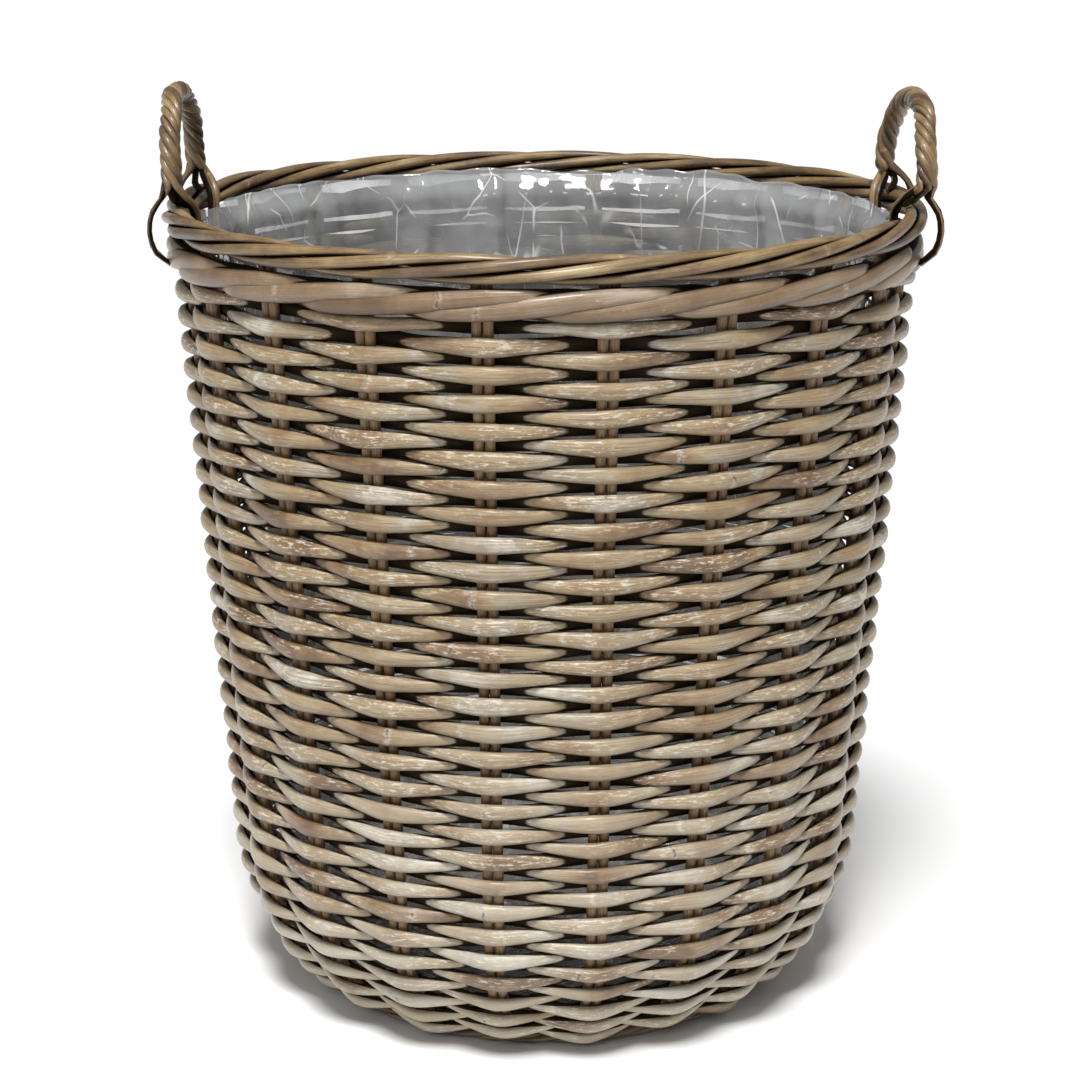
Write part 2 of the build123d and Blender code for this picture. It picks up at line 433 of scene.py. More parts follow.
@dataclass(frozen=True)
class FilmFinish:
    """Clear crinkled film: nearly clear where flat, milky in its clouds and creases. The creases' white
    is partly whitened film and partly a painted highlight; low down the film turns clearer and duller as
    painted shade.
    """

    name: str
    tint: Colour
    crease_highlight_tint: Colour
    clear_alpha: float
    crease_alpha: float
    cloud: float = 0.4
    # heights below which the film is painted in shade: clearer and less glossy
    shaded_heights: tuple[float, float] = (0.38, 0.47)
    # scale, squash in height, tilt and width of each family of creases
    folds: tuple[tuple[float, float, float, float], ...] = (
        (10.0, 0.42, 0.55, 0.009),
        (15.0, 0.38, -0.60, 0.011),
        (31.0, 0.60, 0.15, 0.018),
    )
    relief_depth: float = 0.004

    def creases(self, graph: NodeGraph, source: Socket) -> tuple[Socket, Socket]:
        """Straight creases between flat facets, in broken families.

        Args:
            graph: The graph to add to.
            source: The film's coordinates.

        Returns:
            How much of a crease there is, and the facets' relief.
        """
        crease = 0.0
        relief = graph.times(graph.noise(source, 24.0, 2.0), 0.5)
        for number, (scale, squash, tilt, width) in enumerate(self.folds):
            turned = graph.node("ShaderNodeMapping")
            graph.link(source, turned.inputs["Vector"])
            turned.inputs["Location"].default_value = (0.3 * number, 0.1, 0.7 * number)
            turned.inputs["Rotation"].default_value = (0.5 * tilt, tilt, 0.2 * tilt)
            turned.inputs["Scale"].default_value = (1.0, 1.0, squash)
            where = graph.fit(graph.noise(turned.outputs[0], 1.7 * scale, 1.0), 0.50, 0.62, 0.0, 1.0)
            edges = graph.node("ShaderNodeTexVoronoi", feature="DISTANCE_TO_EDGE")
            graph.link(turned.outputs[0], edges.inputs["Vector"])
            edges.inputs["Scale"].default_value = scale
            ridge = edges.outputs["Distance"]
            line = graph.times(graph.fit(ridge, 0.0, width, 1.0, 0.0), where)
            crease = graph.maths("MAXIMUM", crease, line)
            relief = graph.plus(relief, graph.times(ridge, 16.0 / scale))
        return crease, relief

    def build(self) -> Material:
        """Make the material.

        Returns:
            The film material.
        """
        graph = NodeGraph(self.name)
        source = graph.node("ShaderNodeTexCoord").outputs["Object"]
        crease, relief = self.creases(graph, source)
        cloudy = graph.fit(graph.noise(source, 6.0, 3.0, 0.55), 0.42, 0.60, 0.0, self.cloud)
        # painted shade: low down the film turns clearer and duller, so the gaps there read dark
        upper = graph.fit(graph.height(), *self.shaded_heights, 0.12, 1.0)
        facing = graph.node("ShaderNodeLayerWeight").outputs["Facing"]
        rim = graph.times(graph.maths("POWER", facing, 3.0), 0.35)
        alpha = graph.plus(cloudy, graph.times(crease, self.crease_alpha))
        alpha = graph.plus(self.clear_alpha, graph.times(graph.plus(alpha, rim), upper))
        # white along the creases: partly whitened film, partly a painted highlight
        return graph.surface(
            Base_Color=graph.mix(crease, self.tint, self.crease_highlight_tint),
            Roughness=graph.fit(upper, 0.1, 1.0, 0.35, 0.12),
            Alpha=graph.maths("MINIMUM", alpha, 0.95),
            Normal=graph.relief(relief, 0.8, self.relief_depth),
            IOR=1.6,
            Coat_Weight=upper,
            Coat_Roughness=0.05,
        )


@dataclass(frozen=True)
class FloorFinish:
    """Plain pale floor."""

    name: str
    shade: float

    def build(self) -> Material:
        """Make the material with a faint mottling.

        Returns:
            The floor material.
        """
        graph = NodeGraph(self.name)
        source = graph.node("ShaderNodeTexCoord").outputs["Object"]
        value = graph.fit(graph.noise(source, 3.0), 0.3, 0.7, self.shade - 0.01, self.shade + 0.01)
        return graph.surface(Base_Color=graph.point(value, value, value), Roughness=0.8)


WEAVER_FINISH = CaneFinish(
    name="weathered_weaver",
    tones=(
        (0.0, (0.130, 0.072, 0.034)),
        (0.20, (0.230, 0.140, 0.068)),
        (0.34, (0.278, 0.187, 0.098)),
        (0.50, (0.312, 0.230, 0.122)),
        (0.64, (0.328, 0.252, 0.148)),
        (0.78, (0.325, 0.275, 0.200)),
        (1.0, (0.510, 0.462, 0.380)),
    ),
    grain_and_shade_dark=(0.15, 0.10, 0.055),
    flake=(0.60, 0.55, 0.46),
    flake_start=0.60,
    roughness=(0.28, 0.56),
    node_spacing=0.36,
    pale_foot=0.55,
)
WALE_FINISH = CaneFinish(
    name="smooth_wale_rod",
    tones=(
        (0.0, (0.115, 0.068, 0.033)),
        (0.3, (0.190, 0.118, 0.060)),
        (0.55, (0.235, 0.160, 0.092)),
        (0.8, (0.265, 0.195, 0.128)),
        (1.0, (0.350, 0.280, 0.200)),
    ),
    grain_and_shade_dark=(0.13, 0.08, 0.042),
    flake=(0.52, 0.45, 0.34),
    crevice=(0.58, 0.70),
    node_spacing=0.34,
    roughness=(0.28, 0.5),
    grain_depth=0.55,
    flake_start=0.70,
    coat=0.3,
)
RIM_FINISH = CaneFinish(
    name="brown_rim_cane",
    tones=(
        (0.0, (0.066, 0.038, 0.017)),
        (0.28, (0.128, 0.076, 0.033)),
        (0.52, (0.220, 0.138, 0.058)),
        (0.78, (0.292, 0.196, 0.088)),
        (1.0, (0.385, 0.280, 0.145)),
    ),
    grain_and_shade_dark=(0.065, 0.038, 0.019),
    flake=(0.40, 0.31, 0.20),
    crevice=(0.62, 0.76),
    roughness=(0.26, 0.5),
    grain_depth=0.65,
    flake_start=0.72,
    coat=0.35,
    node_spacing=0.27,
)
STAKE_FINISH = CaneFinish(
    name="orange_stake_cane",
    tones=(
        (0.0, (0.14, 0.075, 0.032)),
        (0.4, (0.24, 0.14, 0.062)),
        (0.7, (0.33, 0.20, 0.095)),
        (1.0, (0.42, 0.29, 0.16)),
    ),
    grain_and_shade_dark=(0.10, 0.05, 0.02),
    flake=(0.5, 0.38, 0.24),
    roughness=(0.35, 0.6),
    coat=0.1,
    follows_uv=False,
)
FILM_FINISH = FilmFinish(
    name="clear_film",
    tint=(0.34, 0.345, 0.345),
    crease_highlight_tint=(0.72, 0.725, 0.73),
    clear_alpha=0.27,
    crease_alpha=0.40,
)
FLOOR_FINISH = FloorFinish(name="pale_floor", shade=0.88)


# ---------------------------------------------------------------- geometry helpers


def smooth_step(value: float) -> float:
    """Ease a number from 0 to 1."""
    value = min(max(value, 0.0), 1.0)
    return value * value * (3 - 2 * value)


@dataclass
class WallLine:
    """The line that the stakes follow in a radial plane: a foot arc and then a cone."""

    arc_radius: float = 0.1335
    arc_centre: tuple[float, float] = (0.0704, 0.1103)
    weave_lean: float = radians(50.0)
    lean: float = 0.0
    stake_radius: float = 0.0032

    @classmethod
    def from_frame(cls) -> "WallLine":
        """Take the cone's lean from two bands of the CAD weave.

        Returns:
            The wall line.
        """
        low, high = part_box("wall_weave_3")[1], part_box("wall_weave_8")[1]
        return cls(lean=atan2(high.x - low.x, high.z - low.z))

    def point(self, along: float, offset: float, azimuth: float) -> Vector:
        """A point on or beside the wall line.

        Args:
            along: Distance up the line.
            offset: Distance outwards from it.
            azimuth: Angle about Z from +X.

        Returns:
            The point.
        """
        turned = self.arc_radius * (self.weave_lean - self.lean)
        slope = self.weave_lean - min(along, turned) / self.arc_radius
        rise = max(along - turned, 0.0)
        radius = self.arc_centre[0] + (self.arc_radius + offset) * cos(slope) + rise * sin(slope)
        height = self.arc_centre[1] - (self.arc_radius + offset) * sin(slope) + rise * cos(slope)
        return Vector((radius * cos(azimuth), radius * sin(azimuth), height))


def mesh_object(name: str, bm: bmesh.types.BMesh, material: Material) -> bpy.types.Object:
    """Turn a bmesh into a smooth-shaded object at the origin.

    Args:
        name: The object's name.
        bm: The mesh, which is freed.
        material: The object's material.

    Returns:
        The object.
    """
    mesh = bpy.data.meshes.new(name)
    for face in bm.faces:
        face.smooth = True
    bm.to_mesh(mesh)
    bm.free()
    mesh.materials.append(material)
    made = bpy.data.objects.new(name, mesh)
    bpy.context.scene.collection.objects.link(made)
    return made


def add_tube(bm: bmesh.types.BMesh, place: Placer, steps: int, sides: int, length: float,
             start: float = 0.0, closed: bool = True) -> None:
    """Bend a grid into a tube that follows a placing function.

    Args:
        bm: The mesh to add to.
        place: Gives the point for a share of the length and a share of the way round, and how far it lies
            out of painted shade, from 0 in a crevice to 1 on an open face.
        steps: Quads along the tube.
        sides: Quads round it.
        length: The tube's length, for its UV map.
        start: The UV map's start along the cane.
        closed: Whether the tube's ends meet; open ends are capped.
    """
    uv = bm.loops.layers.uv.get("UVMap") or bm.loops.layers.uv.new("UVMap")
    # how far each point lies out of painted shade, for the cane shader
    lit_share = bm.verts.layers.float.get("lit_share") or bm.verts.layers.float.new("lit_share")
    grid = bmesh.ops.create_grid(bm, x_segments=steps, y_segments=sides, size=0.5, calc_uvs=True)
    verts = grid["verts"]
    faces = {face for vert in verts for face in vert.link_faces}
    for face in faces:
        for loop in face.loops:
            share = loop[uv].uv
            loop[uv].uv = (start + share.x * length, share.y)
    for vert in verts:
        vert.co, vert[lit_share] = place(vert.co.x + 0.5, vert.co.y + 0.5)
    bmesh.ops.remove_doubles(bm, verts=verts, dist=1e-6)
    if not closed:
        edges = [edge for edge in bm.edges if edge.is_boundary]
        bmesh.ops.holes_fill(bm, edges=edges, sides=sides)
    bmesh.ops.recalc_face_normals(bm, faces=list(bm.faces))


def ride_and_replace(piece: bpy.types.Object, nodes: Sequence[str]) -> None:
    """Fix a piece to the basket and hide the CAD nodes that it stands for.

    Args:
        piece: The piece.
        nodes: The CAD nodes that it replaces.
    """
    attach(piece, BODY)
    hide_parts(*nodes)
    LOG.info("%s: %d faces", piece.name, len(piece.data.polygons))


def catmull(points: Sequence[Vector], share: float) -> Vector:
    """A point on a smooth line through points.

    Args:
        points: The points.
        share: How far along, from 0 to 1, by point number.

    Returns:
        The point.
    """
    last = len(points) - 1
    place = min(max(share, 0.0), 1.0) * last
    index = min(int(place), last - 1)
    part = place - index
    p0, p1 = points[max(index - 1, 0)], points[index]
    p2, p3 = points[index + 1], points[min(index + 2, last)]
    return 0.5 * (
        2 * p1
        + (p2 - p0) * part
        + (2 * p0 - 5 * p1 + 4 * p2 - p3) * part**2
        + (3 * p1 - p0 - 3 * p2 + p3) * part**3
    )


def path_tube(bm: bmesh.types.BMesh, points: Sequence[Vector], radius: float, sides: int, start: float,
              steps_per_point: int = 3, sizes: Sequence[float] = (), unshaded: Sequence[Vector] = ()) -> None:
    """A round cane through points, with capped ends.

    Args:
        bm: The mesh to add to.
        points: The cane's line.
        radius: The cane's radius.
        sides: Quads round it.
        start: The UV map's start.
        steps_per_point: Quads along for each span.
        sizes: The radius at each point, as a share.
        unshaded: For each point, the direction of the cane's side that faces out of the rope; the side
            away from it gets painted shade, and without it the cane gets none.
    """
    steps = steps_per_point * (len(points) - 1)
    line = [catmull(points, index / steps) for index in range(steps + 1)]
    tangents = []
    for index in range(steps + 1):
        ahead = line[min(index + 1, steps)] - line[max(index - 1, 0)]
        tangents.append(ahead.normalized())
    normal = tangents[0].orthogonal().normalized()
    normals = [normal]
    for index in range(1, steps + 1):
        turn = tangents[index - 1].rotation_difference(tangents[index])
        normal = (turn @ normal).normalized()
        normals.append(normal)
    length = sum((b - a).length for a, b in zip(line, line[1:]))

    def place(u: float, v: float) -> tuple[Vector, float]:
        """Put a grid point on the cane."""
        index = round(u * steps)
        across = normals[index]
        over = tangents[index].cross(across)
        size = radius
        if sizes:
            spot = u * (len(sizes) - 1)
            low = min(int(spot), len(sizes) - 2)
            size *= sizes[low] + (sizes[low + 1] - sizes[low]) * (spot - low)
        angle = tau * v
        outward = across * cos(angle) + over * sin(angle)
        # painted shade on the side of the cane that faces into the rope
        lit_level = 0.62 + 0.5 * outward.dot(catmull(unshaded, u)) if unshaded else 1.0
        return line[index] + size * outward, lit_level

    add_tube(bm, place, steps, sides, length, start, closed=False)


# ---------------------------------------------------------------- wall


@dataclass
class WovenWall:
    """The plain-woven wall: rows of thick cane round paired stakes."""

    line: WallLine
    start: float = 0.005
    end: float = 0.4855
    rows: int = 56
    bands: int = 8
    top_row: float = 0.4912
    top_row_size: float = 0.88
    straightness: float = 0.90
    thin_foot: float = 0.90
    thin_rows: int = 22
    thickness: tuple[float, float] = (0.94, 1.08)
    uneven: float = 0.11
    wander_height: float = 0.0014
    wander_depth: float = 0.0006
    # strength of the painted shade along the top and bottom of each row near its crossings
    shaded_edge: float = 0.37
    height: float = 0.0114
    crossing_height: float = 0.0088
    depth: float = 0.0073
    crossing_depth: float = 0.0080
    steps: int = 320
    sides: int = 14
    seed: int = 11

    def row(self, number: int, rng: random.Random, material: Material) -> bpy.types.Object:
        """Weave one row as a closed cane.

        Args:
            number: The row's number from the foot.
            rng: The wall's random numbers.
            material: The weavers' material.

        Returns:
            The row.
        """
        pitch = (self.end - self.start) / self.rows
        middle = self.start + (number + 0.5) * pitch
        parity = -1 if number % 2 else 1
        thick = rng.uniform(*self.thickness)
        slim = thick * (self.thin_foot + (1 - self.thin_foot) * min(number / self.thin_rows, 1.0))
        if number == self.rows:
            middle = self.top_row
            slim = self.top_row_size
        drift = Vector((rng.uniform(0, 50), rng.uniform(0, 50), 0))
        swing = self.line.stake_radius + self.depth / 2
        mean_radius = self.line.point(middle, 0, 0).x
        # the seam lies behind a stake pair at the back of the basket
        seam = FIRST_STAKE + STAKE_PITCH * (9 + number % 2)

        def place(u: float, v: float) -> tuple[Vector, float]:
            """Put a grid point on the row's cane."""
            azimuth = u * tau + seam
            beat = parity * cos(STAKES / 2 * (azimuth - FIRST_STAKE))
            wave = asin(self.straightness * beat) / asin(self.straightness)
            near = Vector((cos(azimuth), sin(azimuth), 0)) * 3.2 + drift
            wobble = noise.noise(near)
            lift = noise.noise(near * 1.7 + Vector((9, 4, 2)))
            apex = wave * wave
            tall = self.crossing_height + (self.height - self.crossing_height) * apex
            deep = self.crossing_depth + (self.depth - self.crossing_depth) * apex
            size = slim * (1 + self.uneven * wobble)
            angle = tau * v - pi / 2
            along = middle + lift * self.wander_height + tall / 2 * size * sin(angle)
            offset = swing * wave + wobble * self.wander_depth + deep / 2 * size * cos(angle)
            # painted shade on the cane's face towards the stakes, and along its top and bottom near each
            # crossing
            edge = self.shaded_edge * sin(angle) ** 2 * (1 - apex)
            lit_level = 0.5 + 0.5 * wave * cos(angle) - edge
            return self.line.point(along, offset, azimuth), lit_level

        bm = bmesh.new()
        start = rng.uniform(0, 40)
        add_tube(bm, place, self.steps, self.sides, tau * mean_radius, start)
        return mesh_object(f"weave_row_{number + 1:02d}", bm, material)

    def build(self, material: Material) -> None:
        """Weave every row.

        Args:
            material: The weavers' material.
        """
        rng = random.Random(self.seed)
        per_band = self.rows // self.bands
        for number in range(self.rows + 1):
            piece = self.row(number, rng, material)
            band = min(number // per_band + 1, self.bands)
            ride_and_replace(piece, [f"wall_weave_{band}"])


# ---------------------------------------------------------------- laid rings


@dataclass
class LaidRing:
    """A ring of one cane that goes round several times and closes on itself."""

    name: str
    radius: float
    height: float
    waves: int
    strand: float
    tall: float
    slot: Slot
    nodes: tuple[str, ...]
    steps: int = 900
    sides: int = 12
    seed: int = 5
    rounds: int = 3
    tilt: float = 0.0
    # strength of the painted shade along the strand's top and bottom
    shaded_edge: float = 0.0
    uneven: float = 0.12
    wander: float = 0.0005

    def centre(self, turn: float) -> tuple[float, float]:
        """Radius and height of the strand's middle.

        Args:
            turn: Place along the strand, in rounds.

        Returns:
            Radius and height.
        """
        raise NotImplementedError

    def girth(self, turn: float) -> float:
        """The strand's size at a place along it, in rounds, as a share."""
        return 1.0

    def unshaded(self, radius: float, height: float) -> float:
        """How far a place on the ring lies out of the painted shade, from 0 to 1.

        Args:
            radius: The place's radius.
            height: Its height.

        Returns:
            The share.
        """
        raise NotImplementedError

    def build(self, material: Material) -> None:
        """Lay all the rounds as one closed strand.

        Args:
            material: The strand's material.
        """
        rng = random.Random(self.seed)
        drift = Vector((rng.uniform(0, 50), rng.uniform(0, 50), 0))

        def place(u: float, v: float) -> tuple[Vector, float]:
            """Put a grid point on the strand."""
            turn = u * self.rounds
            azimuth = turn * tau
            radius, height = self.centre(turn)
            ring = Vector((cos(u * tau), sin(u * tau), 0)) * 12 + drift
            wobble = noise.noise(ring)
            lift = noise.noise(ring * 0.7 + Vector((3, 3, 3)))
            size = self.girth(turn) * (1 + self.uneven * wobble)
            angle = tau * v - pi / 2
            radius += self.strand / 2 * size * cos(angle) + self.wander * lift
            height += self.tall / 2 * size * sin(angle) + self.wander * wobble
            # painted shade in the ring's crevices and along the strand's top and bottom
            lit_level = self.unshaded(radius, height) - self.shaded_edge * sin(angle) ** 2
            height += self.tilt * radius * sin(azimuth)
            return Vector((radius * cos(azimuth), radius * sin(azimuth), height)), lit_level

        bm = bmesh.new()
        add_tube(bm, place, self.steps * self.rounds, self.sides, tau * self.radius * self.rounds)
        piece = mesh_object(self.name, bm, material)
        ride_and_replace(piece, self.nodes)


@dataclass
class Wale(LaidRing):
    """Three-rod wale: each stroke passes two stakes in front and one behind, rising."""

    swing: float = 0.0084
    rise: float = 0.0056
    crossing: float = 0.72
    thin: float = 0.66
    swell: float = 0.46

    def centre(self, turn: float) -> tuple[float, float]:
        """Radius and height of the strand's middle, from its place in the stroke."""
        place = (turn * self.waves - FIRST_STAKE / STAKE_PITCH) % self.rounds
        front = smooth_step(min(place, self.rounds - place) / self.crossing)
        passed = (place + 0.5) % self.rounds
        level = cos(pi * passed) if passed < 1 else -cos(pi * (passed - 1) / 2)
        return self.radius + self.swing * (2 * front - 1), self.height + self.rise * level

    def girth(self, turn: float) -> float:
        """Thickest in the middle of each stroke."""
        passed = (turn * self.waves - FIRST_STAKE / STAKE_PITCH + 0.5) % self.rounds
        return self.thin + (self.swell * sin(pi * (passed - 1) / 2) ** 0.8 if passed > 1 else 0.0)

    def unshaded(self, radius: float, height: float) -> float:
        """Out of the painted shade away from the line of the stakes; shaded near it."""
        return 0.2 + abs(radius - self.radius) / (self.swing + self.strand / 2)


@dataclass
class RopeRing(LaidRing):
    """A rope of strands laid round a ring."""

    lay: float = 0.0049

    def centre(self, turn: float) -> tuple[float, float]:
        """Radius and height of the strand's middle, from its turn about the rope."""
        angle = turn * tau * self.waves / self.rounds
        return self.radius + self.lay * cos(angle), self.height + self.lay * sin(angle)

    def unshaded(self, radius: float, height: float) -> float:
        """Out of the painted shade away from the rope's middle; shaded where the strands meet near it."""
        reach = sqrt((radius - self.radius) ** 2 + (height - self.height) ** 2)
        return reach / (self.lay + self.strand / 2)


def rim_rings() -> list[LaidRing]:
    """The wale, the border and the foot wale, placed by their CAD nodes.

    Returns:
        The rings.
    """
    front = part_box("wale_rod_front_upper")[1]
    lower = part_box("wale_rod_front_lower")[0]
    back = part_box("wale_rod_back")[1]
    border_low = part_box("border_strand_inner")[0]
    border_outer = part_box("border_strand_outer")[1]
    border_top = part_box("border_strand_top")[1]
    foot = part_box("foot_wale")[1]
    rod = 0.0074
    wale_drop = 0.0036
    border_drop = 0.0026
    border_inset = 0.0089
    foot_inset = 0.0068
    foot_lift = 0.0002
    inner, outer = back.x - rod / 2, front.x - rod / 2
    wale = Wale(
        name="wale",
        radius=(inner + outer) / 2,
        height=(lower.z + front.z) / 2 - wale_drop,
        waves=STAKES,
        strand=0.0088,
        tall=0.0116,
        slot=Slot.WEAVE,
        nodes=("wale_rod_front_upper", "wale_rod_front_lower", "wale_rod_back"),
        swing=(outer - inner) / 2,
        tilt=0.002,
        shaded_edge=0.42,
        seed=21,
    )
    border = RopeRing(
        name="border_rope",
        radius=border_outer.x - border_inset,
        height=(border_low.z + border_top.z) / 2 - border_drop,
        waves=21,
        strand=0.0074,
        tall=0.0070,
        slot=Slot.RIM,
        nodes=("border_strand_outer", "border_strand_inner", "border_strand_top"),
        tilt=0.009,
        rounds=4,
        lay=0.0052,
        seed=31,
    )
    foot_ring = RopeRing(
        name="foot_wale_rope",
        radius=foot.x - foot_inset,
        height=foot.z / 2 + foot_lift,
        waves=40,
        strand=0.0062,
        tall=0.0040,
        slot=Slot.WEAVE,
        nodes=("foot_wale",),
        lay=0.0018,
        seed=41,
    )
    return [wale, border, foot_ring]


# ---------------------------------------------------------------- base


@dataclass
class BaseWeave:
    """Rings of thin cane woven over and under the base sticks and the stakes' ends."""

    inner: float = 0.050
    pitch: float = 0.0077
    rings: int = 12
    radius: float = 0.0019
    swing: float = 0.0044
    finer_from: float = 0.087
    uneven: float = 0.15
    wander: float = 0.0007
    # level out of the painted crevice shade: at this value the rings get none
    lit_level: float = 0.6
    steps: int = 240
    sides: int = 8
    seed: int = 51

    def ring(self, number: int, low: float, high: float, rng: random.Random,
             material: Material) -> bpy.types.Object:
        """Weave one ring.

        Args:
            number: The ring's number from the middle.
            low: Height of the lengthways sticks.
            high: Height of the crossways sticks.
            rng: The base's random numbers.
            material: The cane material.

        Returns:
            The ring.
        """
        reach = self.inner + number * self.pitch
        crossings = STAKES if reach >= self.finer_from else STAKES // 2
        parity = -1 if number % 2 else 1
        drift = rng.uniform(0, 60)

        def place(u: float, v: float) -> tuple[Vector, float]:
            """Put a grid point on the ring."""
            azimuth = u * tau
            wander = noise.noise(Vector((4 * cos(azimuth), 4 * sin(azimuth), drift)))
            share = 0.5 - 0.5 * min(max(2.5 * cos(2 * azimuth), -1.0), 1.0)
            middle = low + (high - low) * share + parity * self.swing * cos(crossings * azimuth)
            angle = tau * v
            size = self.radius * (1 + self.uneven * wander)
            out = reach + self.wander * wander + size * cos(angle)
            return Vector((out * cos(azimuth), out * sin(azimuth), middle + size * sin(angle))), self.lit_level

        bm = bmesh.new()
        add_tube(bm, place, self.steps, self.sides, tau * reach, rng.uniform(0, 40))
        return mesh_object(f"base_ring_{number + 1:02d}", bm, material)

    def build(self, material: Material) -> None:
        """Weave every ring.

        Args:
            material: The cane material.
        """
        rng = random.Random(self.seed)
        low = sum(corner.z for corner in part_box("base_sticks_lengthways")) / 2
        high = sum(corner.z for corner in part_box("base_sticks_crossways")) / 2
        for number in range(self.rings):
            piece = self.ring(number, low, high, rng, material)
            ride_and_replace(piece, ["base_weave"])


# ---------------------------------------------------------------- handles


# A cane's way below the rope's foot: distance from the basket's middle, distance aside and height.
FOOT_ROUTES = (
    # over the border's outside and in under the wale
    (
        (0.2500, 0.001, 0.535),
        (0.2562, 0.004, 0.526),
        (0.2582, 0.006, 0.514),
        (0.2545, 0.006, 0.502),
        (0.2450, 0.004, 0.495),
    ),
    (
        (0.2480, -0.004, 0.536),
        (0.2550, -0.003, 0.527),
        (0.2575, -0.001, 0.515),
        (0.2545, 0.001, 0.503),
        (0.2450, 0.000, 0.494),
    ),
    # down inside the border
    (
        (0.2360, -0.004, 0.537),
        (0.2308, -0.010, 0.531),
        (0.2268, -0.014, 0.524),
        (0.2262, -0.016, 0.514),
        (0.2262, -0.016, 0.502),
    ),
    (
        (0.2350, 0.001, 0.537),
        (0.2300, -0.003, 0.532),
        (0.2262, -0.007, 0.525),
        (0.2258, -0.010, 0.514),
        (0.2258, -0.011, 0.502),
    ),
    # along the border's top
    (
        (0.2415, -0.004, 0.536),
        (0.2385, -0.013, 0.5325),
        (0.2345, -0.019, 0.5305),
        (0.2310, -0.023, 0.5285),
    ),
)
# The routes in order of how far out a cane leaves the rope.
ROUTE_ORDER = (0, 1, 4, 3, 2)


@dataclass
class Handle:
    """A rope handle: canes laid round one another, spread at the feet round the border."""

    side: Side
    front_reach: float
    top_reach: float
    back_reach: float
    top: float
    foot: float = 0.534
    half_span: float = 0.0590
    bulge: float = 2.5
    canes: int = 5
    cane_radius: float = 0.0027
    lay: float = 0.0041
    turn_length: float = 0.045
    foot_size: tuple[float, ...] = (0.60, 0.66, 0.92, 0.85, 0.95)
    thickness: tuple[float, float] = (0.78, 1.24)
    strands: int = 4
    ends: float = 0.03
    points: int = 64
    sides: int = 10
    seed: int = 61

    def axis(self, share: float) -> Vector:
        """A point on the rope's middle line, from the front foot to the back foot.

        Args:
            share: Place along the arch, from 0 to 1.

        Returns:
            The point.
        """
        turn = pi * share
        power = 2 / self.bulge
        rise = abs(sin(turn)) ** power
        spread = abs(cos(turn)) ** power * (1 if turn < pi / 2 else -1)
        end = self.front_reach if spread > 0 else self.back_reach
        reach = self.top_reach + (end - self.top_reach) * abs(spread) ** 1.5
        height = self.foot + (self.top - self.foot) * rise
        return Vector((self.side.value * reach, -self.half_span * spread, height))

    def rope_line(self) -> list[Vector]:
        """The rope's middle line between its feet."""
        span = 1 - 2 * self.ends
        return [self.axis(self.ends + span * index / self.points) for index in range(self.points + 1)]

    def foot_path(self, front: bool, kind: int) -> list[Vector]:
        """Where a cane goes below the rope's foot, from the rope down.

        Args:
            front: Whether it is the front foot.
            kind: Which of the canes.

        Returns:
            The points.
        """
        end = self.axis(0.0 if front else 1.0)
        azimuth = atan2(end.y, end.x)
        outward = Vector((cos(azimuth), sin(azimuth), 0))
        away = Vector((0, 0, 1)).cross(outward)
        if away.y * end.y < 0:
            away.negate()
        route = FOOT_ROUTES[kind]
        return [outward * reach + away * aside + Vector((0, 0, rise)) for reach, aside, rise in route]

    def cane(self, number: int, rng: random.Random, material: Material) -> bpy.types.Object:
        """Make one cane of the rope with both its feet.

        Args:
            number: The cane's number.
            rng: The handle's random numbers.
            material: The cane material.

        Returns:
            The cane.
        """
        line = self.rope_line()
        flat = Vector((self.side.value, 0, 0))
        walked = 0.0
        rope, unshaded = [], []
        for index, point in enumerate(line):
            tangent = (line[min(index + 1, self.points)] - line[max(index - 1, 0)]).normalized()
            across = (flat - tangent * flat.dot(tangent)).normalized()
            over = tangent.cross(across)
            if index:
                walked += (point - line[index - 1]).length
            angle = self.start_angle(number) - tau * walked / self.turn_length
            outward = across * cos(angle) + over * sin(angle)
            rope.append(point + outward * self.lay)
            # the side facing out of the rope stays out of the painted shade
            unshaded.append(outward)
        front_kind, back_kind = self.foot_kind(number, True), self.foot_kind(number, False)
        front, back = self.foot_path(True, front_kind), self.foot_path(False, back_kind)
        points = front[::-1] + rope + back
        unshaded_sides = [unshaded[0]] * len(front) + unshaded + [unshaded[-1]] * len(back)
        bm = bmesh.new()
        radius = self.cane_radius * rng.uniform(*self.thickness)
        sizes = [self.foot_size[front_kind]] * len(front) + [1.0] * len(rope)
        sizes += [self.foot_size[back_kind]] * len(back)
        path_tube(bm, points, radius, self.sides, rng.uniform(0, 40), 2, sizes=sizes, unshaded=unshaded_sides)
        return mesh_object(f"handle_{self.side.name.lower()}_cane_{number + 1}", bm, material)

    def start_angle(self, number: int) -> float:
        """The cane's angle round the rope at the front foot."""
        return tau * number / self.canes

    def foot_kind(self, number: int, front: bool) -> int:
        """Choose a foot route for a cane from where it leaves the rope.

        Args:
            number: The cane's number.
            front: Whether it is the front foot.

        Returns:
            The route's number.
        """
        order = sorted(range(self.canes), key=lambda other: -self.leaving(other, front))
        return ROUTE_ORDER[order.index(number)]

    def leaving(self, number: int, front: bool) -> float:
        """How far out a cane lies where it leaves the rope."""
        if front:
            return cos(self.start_angle(number))
        angle = self.start_angle(number) - tau * self.rope_length() / self.turn_length
        return cos(angle)

    def rope_length(self) -> float:
        """Length of the rope between its feet."""
        line = self.rope_line()
        return sum((b - a).length for a, b in zip(line, line[1:]))

    def build(self, material: Material) -> None:
        """Lay all the canes.

        Args:
            material: The cane material.
        """
        rng = random.Random(self.seed + self.side.value)
        for number in range(self.canes):
            piece = self.cane(number, rng, material)
            strand = number % self.strands + 1
            ride_and_replace(piece, [f"handle_{self.side.name.lower()}_strand_{strand}"])


# ---------------------------------------------------------------- liner


